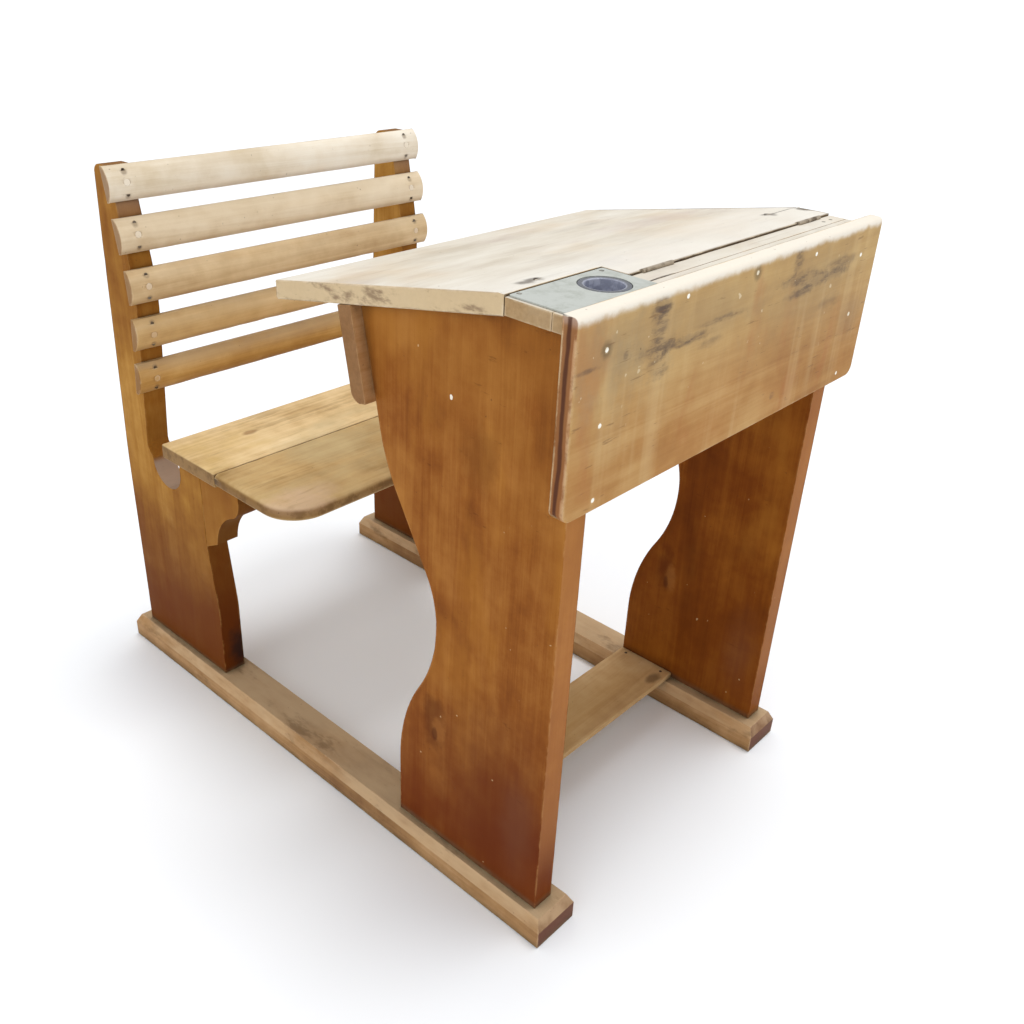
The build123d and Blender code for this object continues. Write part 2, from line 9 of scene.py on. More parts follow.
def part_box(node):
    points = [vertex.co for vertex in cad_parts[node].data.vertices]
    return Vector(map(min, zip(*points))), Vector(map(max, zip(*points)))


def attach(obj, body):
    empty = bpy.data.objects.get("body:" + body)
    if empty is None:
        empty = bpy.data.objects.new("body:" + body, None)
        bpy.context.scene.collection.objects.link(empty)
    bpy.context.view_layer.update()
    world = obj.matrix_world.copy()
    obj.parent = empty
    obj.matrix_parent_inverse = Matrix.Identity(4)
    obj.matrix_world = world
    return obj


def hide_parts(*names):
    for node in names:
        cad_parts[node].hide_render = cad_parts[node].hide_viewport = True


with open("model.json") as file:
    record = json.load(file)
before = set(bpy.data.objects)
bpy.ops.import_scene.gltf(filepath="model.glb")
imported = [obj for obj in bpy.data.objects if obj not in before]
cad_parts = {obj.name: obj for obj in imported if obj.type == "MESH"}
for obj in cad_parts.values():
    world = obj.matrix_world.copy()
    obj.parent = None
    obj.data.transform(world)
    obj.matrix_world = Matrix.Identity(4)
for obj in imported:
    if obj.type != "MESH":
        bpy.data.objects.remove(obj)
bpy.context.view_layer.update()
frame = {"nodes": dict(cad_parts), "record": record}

NODES = frame["nodes"]

# Camera, in metres and degrees
CAMERA_PLACE = (-0.9150, -0.9166, 1.0250)
CAMERA_AZIMUTH = -49.2466
CAMERA_ELEVATION = 29.0703
CAMERA_ROLL = 3.0539
CAMERA_LENS = 36.54
CAMERA_SENSOR = 36.0

# Floor and lights. The floor is wide enough for its far edge to be out of the camera's sight.
FLOOR_HALF = 120.0
FLOOR_DROP = -0.0005
FLOOR_COLOUR = (0.90, 0.925, 0.955, 1.0)
FLOOR_ROUGHNESS = 0.9
SKY_STRENGTH = 0.82
KEY_SOURCE = (0.55, -0.15, 2.6)
KEY_ANGLE = 26
KEY_POWER = 1.30
FILL_PLACE = (-2.4, -0.8, 1.6)
FILL_TARGET = (0, 0, 0.4)
FILL_SIZE = 2.4
FILL_POWER = 8


def body_of_node(node):
    """The body that a CAD node rides on."""
    bodies = frame["record"]["behaviour"]["bodies"]
    return next(body for body, members in bodies.items() if node in members)


def srgb(red, green, blue):
    """A colour from 0 to 255 as linear values with alpha."""
    channels = []
    for value in (red / 255, green / 255, blue / 255):
        channels.append(value / 12.92 if value <= 0.04045 else ((value + 0.055) / 1.055) ** 2.4)
    return (*channels, 1.0)


# ---------------------------------------------------------------- material nodes


class Graph:
    """Short calls for building one material out of nodes."""

    def __init__(self, name):
        self.material = bpy.data.materials.new(name)
        self.material.use_nodes = True
        self.tree = self.material.node_tree
        self.shader = self.tree.nodes["Principled BSDF"]
        coordinates = self.node("TexCoord")
        self.place = coordinates.outputs["Object"]
        self.facing = coordinates.outputs["Normal"]

    def node(self, kind, inputs=None, **settings):
        made = self.tree.nodes.new("ShaderNode" + kind)
        for key, value in settings.items():
            setattr(made, key, value)
        for key, value in (inputs or {}).items():
            self.put(made.inputs[key], value)
        return made

    def put(self, socket, value):
        if isinstance(value, bpy.types.NodeSocket):
            self.tree.links.new(value, socket)
        else:
            socket.default_value = value

    def math(self, operation, first, second=0.0, clamp=False):
        return self.node("Math", {0: first, 1: second}, operation=operation, use_clamp=clamp).outputs[0]

    def add(self, first, *others):
        total = first
        for value in others:
            total = self.math("ADD", total, value)
        return total

    def times(self, first, *others):
        total = first
        for value in others:
            total = self.math("MULTIPLY", total, value)
        return total

    def step(self, value, low, high):
        """0 below low and 1 above high, or the other way round when low is the larger."""
        rising = low < high
        lo, hi = (low, high) if rising else (high, low)
        ends = {"From Min": lo, "From Max": hi, "To Min": 0.0 if rising else 1.0, "To Max": 1.0 if rising else 0.0}
        return self.node("MapRange", {"Value": value, **ends}, interpolation_type="SMOOTHSTEP").outputs[0]

    def mix(self, factor, first, second, blend="MIX"):
        made = self.node("Mix", {0: factor, 6: first, 7: second}, data_type="RGBA", blend_type=blend)
        return made.outputs[2]

    def scaled(self, vector, scale, offset=(0, 0, 0)):
        moved = self.node("VectorMath", {0: vector, 1: offset}, operation="ADD").outputs[0]
        return self.node("VectorMath", {0: moved, 1: scale}, operation="MULTIPLY").outputs[0]

    def axis(self, vector, letter):
        return self.node("SeparateXYZ", {0: vector}).outputs[letter]

    def noise(self, vector, scale, detail=2.0, roughness=0.5, distortion=0.0):
        inputs = {"Vector": vector, "Scale": scale, "Detail": detail, "Roughness": roughness}
        return self.node("TexNoise", {**inputs, "Distortion": distortion}).outputs[0]

    def ramp(self, factor, stops):
        made = self.node("ValToRGB", {0: factor})
        line = made.color_ramp
        line.elements[0].position, line.elements[0].color = stops[0]
        line.elements[1].position, line.elements[1].color = stops[-1]
        for position, colour in stops[1:-1]:
            line.elements.new(position).color = colour
        return made.outputs[0]

    def spot(self, centre, size, ragged=0.5, grit=60.0, soft=0.5):
        """A blot with a ragged outline: 1 inside, 0 outside, sizes in metres on each axis."""
        inverse = tuple(1 / length for length in size)
        local = self.scaled(self.place, inverse, tuple(-value for value in centre))
        distance = self.node("VectorMath", {0: local}, operation="LENGTH").outputs["Value"]
        rough = self.times(self.add(self.noise(self.place, grit, 4, 0.65), -0.5), 2 * ragged)
        return self.step(self.add(distance, rough), 1.0 + soft / 2, 1.0 - soft / 2)

    def arris(self, radius):
        """1 on edges that stand out and in, 0 on flat faces."""
        rounded = self.node("Bevel", {"Radius": radius}, samples=4).outputs[0]
        normal = self.node("NewGeometry").outputs["Normal"]
        same = self.node("VectorMath", {0: rounded, 1: normal}, operation="DOT_PRODUCT").outputs["Value"]
        return self.step(same, 0.995, 0.90)

    def crevice(self, distance):
        """1 in corners and joints, 0 in the open."""
        made = self.node("AmbientOcclusion", {"Distance": distance}, samples=6)
        return self.step(made.outputs["AO"], 0.80, 0.42)

    def finish(self, colour, roughness, height=None, bump=0.25, depth=0.0006):
        self.put(self.shader.inputs["Base Color"], colour)
        self.put(self.shader.inputs["Roughness"], roughness)
        if height is not None:
            made = self.node("Bump", {"Height": height, "Strength": bump, "Distance": depth})
            self.put(self.shader.inputs["Normal"], made.outputs[0])
        return self.material


# How much a noise is stretched along the grain: for broad streaks and for single fibres
ALONG = {"X": (0.06, 1.0, 1.0), "Y": (1.0, 0.06, 1.0), "Z": (1.0, 1.0, 0.06)}
FIBRE = {"X": (0.02, 1.0, 1.0), "Y": (1.0, 0.02, 1.0), "Z": (1.0, 1.0, 0.02)}

WORN_EDGE = 0.0035
WOOD_BUMP = 0.28
END_GRAIN_SHADE = 0.72
# Dark tone for grime and painted shade in corners and joints
GRIME_AND_SHADE_TONE = (58, 40, 26)
PIT_TONE = (70, 46, 28)
DUST_TONE = (118, 110, 88)
RUNNER_DUST_TONE = (128, 128, 92)


def wood(name, grain, tones, seed, figure=0.5, paint=None, worn_tone=None, worn=0.6, corner_grime_and_shade=0.6,
         rough=(0.50, 0.68), shine=0.12):
    """Old softwood: flat-sawn figure, streaks and fibres along the grain, end grain, wear, and grime with painted
    shade in corners and joints.

    tones are the dark, middle and light colours. paint adds what only one board has to the colour."""
    g = Graph(name)
    shift = (0.37 * seed, 0.71 * seed, 0.53 * seed)
    along = g.scaled(g.place, ALONG[grain], shift)
    fibres = g.scaled(g.place, FIBRE[grain], shift)
    broad = g.noise(along, 13.0, 3, 0.55, 0.9)
    rings = g.math("SINE", g.times(broad, 62.0))
    streak = g.noise(along, 95.0, 4, 0.6)
    fibre = g.noise(fibres, 620.0, 2, 0.6)
    patch = g.noise(g.place, 5.5, 3, 0.6, 0.4)
    mottle = g.noise(g.scaled(g.place, (1, 1, 1), shift), 30.0, 4, 0.65)
    tone = g.add(
        0.5,
        g.times(g.add(broad, -0.5), 0.55),
        g.times(rings, 0.05 * figure),
        g.times(g.add(streak, -0.5), 0.26),
        g.times(g.add(fibre, -0.5), 0.18),
        g.times(g.add(patch, -0.5), 0.95),
        g.times(g.add(mottle, -0.5), 0.42),
    )
    dark, middle, light = (srgb(*one) for one in tones)
    colour = g.ramp(tone, [(0.22, dark), (0.5, middle), (0.78, light)])

    across_end = g.math("ABSOLUTE", g.axis(g.facing, grain))
    end = g.step(across_end, 0.75, 0.93)
    end_colour = srgb(*(END_GRAIN_SHADE * value for value in tones[0]))
    end_mottle = g.mix(g.times(0.6, g.noise(g.place, 170.0, 3, 0.7)), end_colour, middle)
    colour = g.mix(g.times(end, 0.8), colour, end_mottle)

    if paint is not None:
        colour = paint(g, colour)

    edge = g.arris(WORN_EDGE)
    scuffs = g.step(g.noise(g.place, 38.0, 5, 0.7), 0.42, 0.60)
    colour = g.mix(g.times(edge, scuffs, worn), colour, srgb(*(worn_tone or tones[2])))
    # Grime and painted shade: ambient occlusion darkens corners and joints, broken up by noise.
    grime_and_shade = g.times(g.crevice(0.022), g.step(g.noise(g.place, 24.0, 4, 0.6), 0.25, 0.62), corner_grime_and_shade)
    colour = g.mix(grime_and_shade, colour, srgb(*GRIME_AND_SHADE_TONE))
    pits = g.step(g.noise(g.place, 210.0, 2, 0.5), 0.735, 0.78)
    colour = g.mix(g.times(pits, 0.5), colour, srgb(*PIT_TONE))

    low, high = rough
    roughness = g.add(low, g.times(g.noise(along, 20.0, 3), high - low), g.times(edge, 0.08))
    height = g.add(
        g.times(fibre, 0.35),
        g.times(streak, 0.35),
        g.times(rings, 0.05),
        g.times(g.noise(g.place, 60.0, 3), 0.8),
        g.times(pits, -0.8),
    )
    g.shader.inputs["Specular IOR Level"].default_value = shine
    return g.finish(colour, roughness, height, WOOD_BUMP)


def metal(name, base, spots, seed, metallic=0.9, rough=(0.35, 0.6), spotting=(0.48, 0.62), bump=0.2):
    """Old dull metal with tarnish spots and fine scratches."""
    g = Graph(name)
    shifted = g.scaled(g.place, (1, 1, 1), (0.37 * seed, 0.71 * seed, 0.53 * seed))
    blotches = g.step(g.noise(shifted, 75.0, 5, 0.65), *spotting)
    scratches = g.noise(g.scaled(shifted, (0.05, 1.0, 1.0)), 900.0, 2)
    colour = g.mix(blotches, srgb(*base), srgb(*spots))
    low, high = rough
    roughness = g.add(low, g.times(blotches, high - low), g.times(g.add(scratches, -0.5), 0.2))
    g.shader.inputs["Metallic"].default_value = metallic
    return g.finish(colour, roughness, g.add(scratches, blotches), bump, 0.0002)


# ---------------------------------------------------------------- what only some boards have


def facing_up(g):
    return g.step(g.axis(g.facing, "Z"), 0.55, 0.92)


def tint(g, colour, mask, strength, target):
    return g.mix(g.times(mask, strength), colour, srgb(*target))


def nail_places(node):
    """The (low, high) corners of each separate solid's box in a group of fasteners."""
    bm = bmesh.new()
    bm.from_mesh(NODES[node].data)
    bmesh.ops.remove_doubles(bm, verts=bm.verts, dist=1e-6)
    seen = set()
    places = []
    for vert in bm.verts:
        if vert in seen:
            continue
        island = [vert]
        seen.add(vert)
        for member in island:
            for edge in member.link_edges:
                other = edge.other_vert(member)
                if other not in seen:
                    seen.add(other)
                    island.append(other)
        low = Vector([min(v.co[i] for v in island) for i in range(3)])
        high = Vector([max(v.co[i] for v in island) for i in range(3)])
        places.append((low, high))
    bm.free()
    return places


def halos(g, colour, centres, radius, target, strength):
    """Dark stains that spread from iron in the wood."""
    for centre in centres:
        mask = g.spot(centre, (radius, radius, radius), 0.55, 110.0, 1.1)
        colour = tint(g, colour, mask, strength, target)
    return colour


def front_board_paint(g, colour):
    """Bleached upper part, a near-white top edge (pale wear with a painted highlight), warmer lower half, ink
    smudges and iron stains on the front board.
    """
    low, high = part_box("front_board")
    height = g.axis(g.place, "Z")
    cloud = g.times(g.add(g.noise(g.place, 9.0, 4, 0.6), -0.5), 0.10)
    up = g.step(g.add(height, cloud), low.z + 0.02, high.z - 0.03)
    colour = tint(g, colour, up, 0.38, (206, 180, 128))
    warm = g.times(g.noise(g.place, 7.0, 4, 0.65), g.step(height, high.z - 0.03, low.z + 0.03))
    colour = tint(g, colour, warm, 0.62, (176, 114, 56))
    red = g.step(g.noise(g.scaled(g.place, (1, 1, 0.35), (2, 0, 1)), 14.0, 4, 0.6), 0.54, 0.70)
    colour = tint(g, colour, red, 0.42, (166, 100, 54))
    grey = g.step(g.noise(g.scaled(g.place, (1, 1, 0.6)), 13.0, 5, 0.7), 0.50, 0.70)
    colour = tint(g, colour, g.times(grey, up), 0.40, (150, 136, 108))
    drips = g.noise(g.scaled(g.place, (1, 1, 0.05)), 30.0, 3, 0.6)
    colour = tint(g, colour, g.step(drips, 0.50, 0.68), 0.30, (212, 182, 132))
    face_y = low.y
    combed = g.step(g.noise(g.scaled(g.place, (0.22, 1, 1)), 150.0, 4, 0.7), 0.40, 0.60)
    smudges = [
        (-0.160, 0.745, 0.013, 0.010, 0.90),
        (-0.161, 0.728, 0.010, 0.022, 0.65),
        (-0.163, 0.706, 0.028, 0.007, 0.75),
        (-0.112, 0.702, 0.034, 0.0045, 0.80),
        (-0.157, 0.688, 0.015, 0.011, 0.60),
        (-0.262, 0.710, 0.014, 0.002, 0.60),
        (-0.052, 0.711, 0.036, 0.003, 0.60),
        (-0.070, 0.690, 0.016, 0.004, 0.40),
        (0.087, 0.744, 0.008, 0.012, 0.80),
        (0.100, 0.722, 0.036, 0.0055, 0.80),
        (0.150, 0.713, 0.050, 0.006, 0.80),
        (0.100, 0.706, 0.024, 0.005, 0.75),
        (0.190, 0.722, 0.030, 0.007, 0.55),
        (0.079, 0.593, 0.005, 0.004, 0.45),
        (-0.209, 0.711, 0.003, 0.004, 0.50),
        (0.180, 0.680, 0.024, 0.008, 0.30),
    ]
    for x, z, wide, tall, strength in smudges:
        mask = g.spot((x, face_y, z), (wide, 0.012, tall), 1.1, 70.0, 1.2)
        colour = tint(g, colour, g.times(mask, g.add(0.35, g.times(0.65, combed))), strength, (86, 70, 62))
    washes = [
        (-0.20, 0.72, 0.06, 0.03),
        (0.13, 0.71, 0.09, 0.035),
        (-0.06, 0.72, 0.07, 0.022),
        (0.24, 0.65, 0.02, 0.02),
    ]
    for x, z, wide, tall in washes:
        mask = g.spot((x, face_y, z), (wide, 0.012, tall), 0.9, 28.0, 1.5)
        colour = tint(g, colour, mask, 0.28, (134, 112, 88))
    stained = [(-0.2375, face_y, 0.723), (0.0025, face_y, 0.745)]
    colour = halos(g, colour, stained, 0.0070, (96, 84, 60), 0.6)
    scratches = g.noise(g.scaled(g.place, (0.10, 1, 1)), 190.0, 3, 0.7)
    colour = tint(g, colour, g.step(scratches, 0.655, 0.70), 0.45, (112, 80, 52))
    chips = g.step(g.noise(g.place, 95.0, 2, 0.5), 0.735, 0.755)
    colour = tint(g, colour, g.times(chips, up), 0.5, (232, 216, 184))
    # Painted highlight over pale wear: the rounded top edge is brought near white.
    ragged = g.times(g.add(g.noise(g.place, 40.0, 4, 0.65), -0.5), 0.012)
    top = g.step(g.add(height, ragged), high.z - 0.011, high.z - 0.003)
    colour = tint(g, colour, top, 0.88, (240, 234, 222))
    end = g.step(g.math("ABSOLUTE", g.axis(g.facing, "X")), 0.5, 0.85)
    colour = tint(g, colour, end, 0.75, (132, 78, 40))
    middle_y = 0.5 * (low.y + high.y) + 0.001
    wander = g.times(g.add(g.noise(g.scaled(g.place, (1, 1, 0.5)), 40.0, 3), -0.5), 0.006)
    split = g.math("ABSOLUTE", g.add(g.axis(g.place, "Y"), wander, -middle_y))
    colour = tint(g, colour, g.times(end, g.step(split, 0.0034, 0.0012)), 0.85, (70, 34, 20))
    rims = g.times(end, g.step(split, 0.0050, 0.0072), g.step(g.noise(g.place, 60.0, 4, 0.7), 0.38, 0.55))
    return tint(g, colour, rims, 0.6, (196, 152, 108))


def bleached_paint(g, colour):
    """Scrubbed pale where it faces up."""
    pale = g.ramp(
        g.noise(g.scaled(g.place, (0.35, 1, 1)), 17.0, 5, 0.62),
        [(0.30, srgb(196, 186, 169)), (0.5, srgb(214, 207, 193)), (0.68, srgb(225, 220, 209))],
    )
    up = facing_up(g)
    colour = g.mix(g.times(up, 0.96), colour, pale)
    warm = g.step(g.noise(g.place, 4.2, 4, 0.6), 0.48, 0.68)
    colour = tint(g, colour, g.times(warm, up), 0.34, (206, 176, 134))
    pink = g.step(g.noise(g.scaled(g.place, (0.5, 1, 1), (1.3, 4.1, 0)), 7.0, 5, 0.65), 0.50, 0.68)
    colour = tint(g, colour, g.times(pink, up), 0.40, (190, 172, 164))
    grey = g.step(g.noise(g.scaled(g.place, (0.4, 1, 1), (3.1, 1.7, 0)), 9.0, 5, 0.65), 0.52, 0.68)
    colour = tint(g, colour, g.times(grey, up), 0.42, (168, 160, 150))
    lines = g.step(g.noise(g.scaled(g.place, (0.05, 1, 1)), 170.0, 3, 0.6), 0.60, 0.70)
    return tint(g, colour, g.times(lines, up), 0.22, (150, 130, 106))


def lid_paint(g, colour):
    """Bleached top, with dark wear along the edges, painted shade along the foot of its sides, the screw marks and
    a crack at the far end.
    """
    colour = bleached_paint(g, colour)
    low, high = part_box("lid")
    side = g.step(g.math("ABSOLUTE", g.axis(g.facing, "Z")), 0.75, 0.2)
    scrubbed = g.times(facing_up(g), g.step(g.axis(g.place, "Y"), low.y + 0.16, low.y + 0.03))
    colour = tint(g, colour, scrubbed, 0.50, (236, 233, 226))
    colour = tint(g, colour, side, 0.60, (222, 200, 162))
    dark_wear = g.step(g.noise(g.scaled(g.place, (1, 0.35, 1)), 42.0, 5, 0.7), 0.53, 0.66)
    colour = tint(g, colour, g.times(side, dark_wear), 0.6, (92, 62, 44))
    centres = [(-0.222, -0.319, high.z), (-0.207, -0.318, high.z), (0.203, -0.323, high.z), (0.262, -0.336, high.z)]
    colour = halos(g, colour, centres, 0.0085, (84, 72, 62), 0.7)
    crack = g.spot((0.235, -0.3240, high.z), (0.032, 0.0011, 0.02), 0.25, 120.0, 0.5)
    colour = tint(g, colour, crack, 0.9, (64, 48, 36))
    # Painted shade: the crevice along the foot of the lid's sides is darkened.
    foot = g.times(side, g.step(g.crevice(0.012), 0.1, 0.7))
    colour = tint(g, colour, foot, 0.6, (92, 62, 40))
    front = g.step(g.axis(g.place, "Y"), low.y + 0.004, low.y + 0.0005)
    return tint(g, colour, front, 0.5, (92, 74, 58))


# How strongly each end's foot is darkened, in what tone, and how strong its red patch is
DESK_END_FEET = {"right": (0.70, (104, 42, 10), 0.62), "left": (0.25, (128, 70, 20), 0.15)}


def desk_end_paint(side):
    """Varnish that darkens to red-brown at the foot, with a knot, scuffs and dust at the runner."""

    def paint(g, colour):
        low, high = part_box("desk_end_" + side)
        outer = low.x if side == "right" else high.x
        height = g.axis(g.place, "Z")
        cloud = g.times(g.add(g.noise(g.place, 6.0, 4, 0.6), -0.5), 0.35)
        lower = g.step(g.add(height, cloud), 0.34, 0.10)
        foot_strength, foot_tone, red_strength = DESK_END_FEET[side]
        colour = tint(g, colour, lower, foot_strength, foot_tone)
        red = g.spot((outer, -0.335, 0.145), (0.06, 0.075, 0.12), 0.7, 12.0, 1.4)
        colour = tint(g, colour, red, red_strength, (94, 38, 14))
        mauve = g.spot((outer, -0.377, 0.145), (0.05, 0.022, 0.06), 0.7, 18.0, 1.5)
        colour = tint(g, colour, mauve, 0.35, (116, 74, 52))
        knot = g.spot((outer, -0.240, 0.216), (0.06, 0.017, 0.034), 0.9, 30.0, 0.9)
        colour = tint(g, colour, knot, 0.60, (84, 36, 12))
        swirl = g.spot((outer, -0.250, 0.206), (0.06, 0.010, 0.020), 0.9, 46.0, 0.8)
        colour = tint(g, colour, swirl, 0.55, (156, 100, 48))
        eye = g.spot((outer, -0.243, 0.198), (0.06, 0.004, 0.010), 0.8, 60.0, 0.8)
        colour = tint(g, colour, eye, 0.60, (72, 32, 14))
        golden = g.step(g.noise(g.scaled(g.place, (1, 1, 0.4)), 12.0, 4, 0.6), 0.48, 0.68)
        colour = tint(g, colour, g.times(golden, g.step(height, 0.12, 0.4)), 0.42, (170, 112, 42))
        sheen = g.times(g.step(height, 0.42, 0.66), g.step(g.noise(g.place, 8.0, 3, 0.5), 0.35, 0.6))
        colour = tint(g, colour, sheen, 0.30, (160, 108, 46))
        shade = g.spot((outer, -0.303, 0.581), (0.06, 0.022, 0.030), 0.8, 30.0, 1.2)
        colour = tint(g, colour, shade, 0.35, (102, 56, 20))
        scrapes = g.step(g.noise(g.scaled(g.place, (1, 0.25, 1)), 70.0, 4, 0.7), 0.66, 0.72)
        colour = tint(g, colour, scrapes, 0.4, (84, 44, 16))
        specks = g.step(g.noise(g.place, 120.0, 1, 0.4), 0.800, 0.815)
        colour = tint(g, colour, specks, 0.6, (206, 176, 132))
        chip = g.spot((outer, -0.260, 0.631), (0.02, 0.0018, 0.0026), 1.0, 330.0, 0.3)
        colour = tint(g, colour, chip, 0.95, (240, 232, 216))
        front = g.step(g.axis(g.facing, "Y"), -0.5, -0.85)
        colour = tint(g, colour, g.times(front, g.step(height, 0.06, 0.16)), 0.42, (186, 126, 74))
        dust = g.times(g.step(height, low.z + 0.012, low.z), g.noise(g.place, 60.0, 3, 0.6))
        return tint(g, colour, dust, 0.7, DUST_TONE)

    return paint


def standard_paint(side):
    """Orange-brown varnish, greyed where backs rub, dark at the foot."""

    def paint(g, colour):
        height = g.axis(g.place, "Z")
        low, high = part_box("chair_standard_" + side)
        front = g.step(g.axis(g.facing, "Y"), -0.4, -0.8)
        rubbed = g.times(front, g.step(height, 0.66, 0.72))
        colour = tint(g, colour, rubbed, 0.55, (158, 134, 118))
        shaded = g.times(front, g.step(height, 0.70, 0.60))
        colour = tint(g, colour, shaded, 0.45, (112, 58, 18))
        behind = g.step(g.axis(g.place, "Y"), 0.262, 0.268)
        before = g.step(g.axis(g.place, "Y"), 0.350, 0.340)
        notch = g.times(g.step(height, 0.350, 0.338), g.step(height, 0.295, 0.312), behind, before)
        inside = g.step(g.math("ABSOLUTE", g.axis(g.facing, "X")), 0.6, 0.3)
        colour = tint(g, colour, g.times(notch, inside), 0.85, (164, 142, 124))
        cloud = g.times(g.add(g.noise(g.place, 7.0, 4, 0.6), -0.5), 0.2)
        foot = g.step(g.add(height, cloud), 0.36, 0.10)
        colour = tint(g, colour, foot, 0.90, (98, 42, 2))
        edge_low = g.times(front, g.step(g.add(height, cloud), 0.34, 0.16))
        colour = tint(g, colour, edge_low, 0.5, (84, 38, 12))
        inner_x = high.x if side == "right" else low.x
        stain = g.spot((inner_x, low.y + 0.004, 0.072), (0.020, 0.016, 0.034), 0.7, 40.0, 1.2)
        colour = tint(g, colour, stain, 0.88, (40, 26, 24))
        dust = g.times(g.step(height, low.z + 0.008, low.z), g.noise(g.place, 60.0, 3, 0.6))
        return tint(g, colour, dust, 0.6, DUST_TONE)

    return paint


def corbel_paint(g, colour):
    """Darker than the standards, with painted shade on the curved underside."""
    colour = tint(g, colour, 1.0, 0.45, (126, 74, 28))
    # Painted shade on the curved underside.
    curved_underside_shade = g.step(g.math("ABSOLUTE", g.axis(g.facing, "X")), 0.7, 0.3)
    return tint(g, colour, curved_underside_shade, 0.65, (78, 38, 14))


def rail_paint(g, colour):
    """Bleached, with a dark stretch of open joint beside the inkwell plate."""
    colour = bleached_paint(g, colour)
    low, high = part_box("top_rail")
    joint = g.spot((-0.106, low.y, high.z), (0.025, 0.0022, 0.006), 0.4, 120.0, 0.6)
    return tint(g, colour, joint, 0.85, (70, 60, 54))


def runner_paint(g, colour):
    """Pinkish-grey where feet wear the top, warm chamfers, maroon end grain."""
    up = g.step(g.axis(g.facing, "Z"), 0.2, 0.4)
    flat = g.step(g.axis(g.facing, "Z"), 0.75, 0.98)
    worn = g.step(g.noise(g.scaled(g.place, (1, 0.3, 1)), 18.0, 4, 0.65), 0.30, 0.62)
    colour = tint(g, colour, g.times(up, worn), 0.75, (206, 176, 138))
    colour = tint(g, colour, flat, 0.50, (164, 144, 116))
    end = g.step(g.math("ABSOLUTE", g.axis(g.facing, "Y")), 0.85, 0.97)
    colour = tint(g, colour, end, 0.7, (92, 44, 42))
    bruise = g.step(g.noise(g.scaled(g.place, (1, 0.4, 1)), 30.0, 4, 0.7), 0.55, 0.70)
    colour = tint(g, colour, bruise, 0.45, (92, 66, 40))
    return tint(g, colour, g.crevice(0.014), 0.45, RUNNER_DUST_TONE)


def seat_paint(g, colour):
    """Khaki where it faces up, greyed in the middle, a knot near the back corner."""
    up = facing_up(g)
    grey = g.step(g.noise(g.scaled(g.place, (0.5, 1, 1)), 8.5, 4, 0.6), 0.46, 0.66)
    colour = tint(g, colour, g.times(up, grey), 0.42, (168, 154, 118))
    gold = g.step(g.noise(g.scaled(g.place, (0.5, 1, 1), (5, 3, 1)), 9.0, 4, 0.6), 0.50, 0.68)
    colour = tint(g, colour, g.times(up, gold), 0.42, (206, 174, 104))
    _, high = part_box("seat_plank_rear")
    knot = g.spot((-0.150, 0.240, high.z), (0.012, 0.006, 0.02), 0.4, 70.0, 0.8)
    colour = tint(g, colour, knot, 0.6, (140, 100, 60))
    corner = g.spot((-0.232, 0.030, high.z - 0.003), (0.050, 0.032, 0.008), 0.7, 32.0, 1.2)
    colour = tint(g, colour, corner, 0.55, (214, 184, 160))
    rubs = g.step(g.noise(g.scaled(g.place, (0.12, 1, 1)), 60.0, 4, 0.65), 0.56, 0.68)
    colour = tint(g, colour, g.times(up, rubs), 0.30, (128, 100, 60))
    edge = g.step(g.math("ABSOLUTE", g.axis(g.facing, "Z")), 0.85, 0.2)
    colour = tint(g, colour, edge, 0.72, (128, 90, 44))
    under = g.times(edge, g.step(g.noise(g.place, 45.0, 4, 0.7), 0.45, 0.62))
    return tint(g, colour, under, 0.5, (92, 62, 30))


def slat_paint(node):
    """Iron stains round the nails and a dark ring round the plugs."""

    def paint(g, colour):
        low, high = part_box(node)
        inside = [
            (0.5 * (a.x + b.x), a.y, 0.5 * (a.z + b.z))
            for a, b in nail_places("slat_nails")
            if low.z < 0.5 * (a.z + b.z) < high.z
        ]
        colour = halos(g, colour, inside, 0.0036, (92, 66, 44), 0.55)
        sheen = g.step(g.noise(g.scaled(g.place, (0.25, 1, 1)), 12.0, 4, 0.6), 0.38, 0.62)
        middle_z = 0.5 * (low.z + high.z)
        upper = g.step(g.axis(g.place, "Z"), middle_z - 0.006, high.z - 0.004)
        colour = tint(g, colour, g.times(sheen, upper), 0.42, (196, 178, 150))
        lower = g.step(g.axis(g.place, "Z"), low.z + 0.012, low.z)
        colour = tint(g, colour, lower, 0.40, (120, 78, 34))
        end = g.step(g.math("ABSOLUTE", g.axis(g.facing, "X")), 0.35, 0.8)
        return tint(g, colour, end, 0.75, (136, 94, 48))

    return paint


def plug_paint(g, colour):
    """Takes the tone of the slat that a plug sits in."""
    top, bottom = (srgb(*one) for one in (SLAT_TOP[1], SLAT_BOTTOM[1]))
    height = g.step(g.axis(g.place, "Z"), 0.46, 0.74)
    return g.mix(0.85, colour, g.mix(height, bottom, top))


def footrest_paint(g, colour):
    """Worn yellow-brown where shoes rest."""
    low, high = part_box("footrest")
    middle = g.spot((0, 0.5 * (low.y + high.y), high.z), (0.17, 0.04, 0.02), 0.5, 10.0, 1.2)
    colour = tint(g, colour, middle, 0.45, (186, 146, 84))
    stain = g.spot((0.19, low.y + 0.012, high.z), (0.014, 0.008, 0.02), 0.5, 60.0, 0.9)
    return tint(g, colour, stain, 0.6, (84, 58, 38))


# ---------------------------------------------------------------- worn boards


def cut_into_steps(bm, axis, step):
    """Rings of edges across the board, so that its arrises can be uneven."""
    values = [vert.co[axis] for vert in bm.verts]
    low, high = min(values), max(values)
    count = int((high - low) / step)
    normal = Vector([1.0 if i == axis else 0.0 for i in range(3)])
    for index in range(1, count):
        point = normal * (low + (high - low) * index / count)
        geometry = bm.verts[:] + bm.edges[:] + bm.faces[:]
        bmesh.ops.bisect_plane(bm, geom=geometry, dist=1e-5, plane_co=point, plane_no=normal)


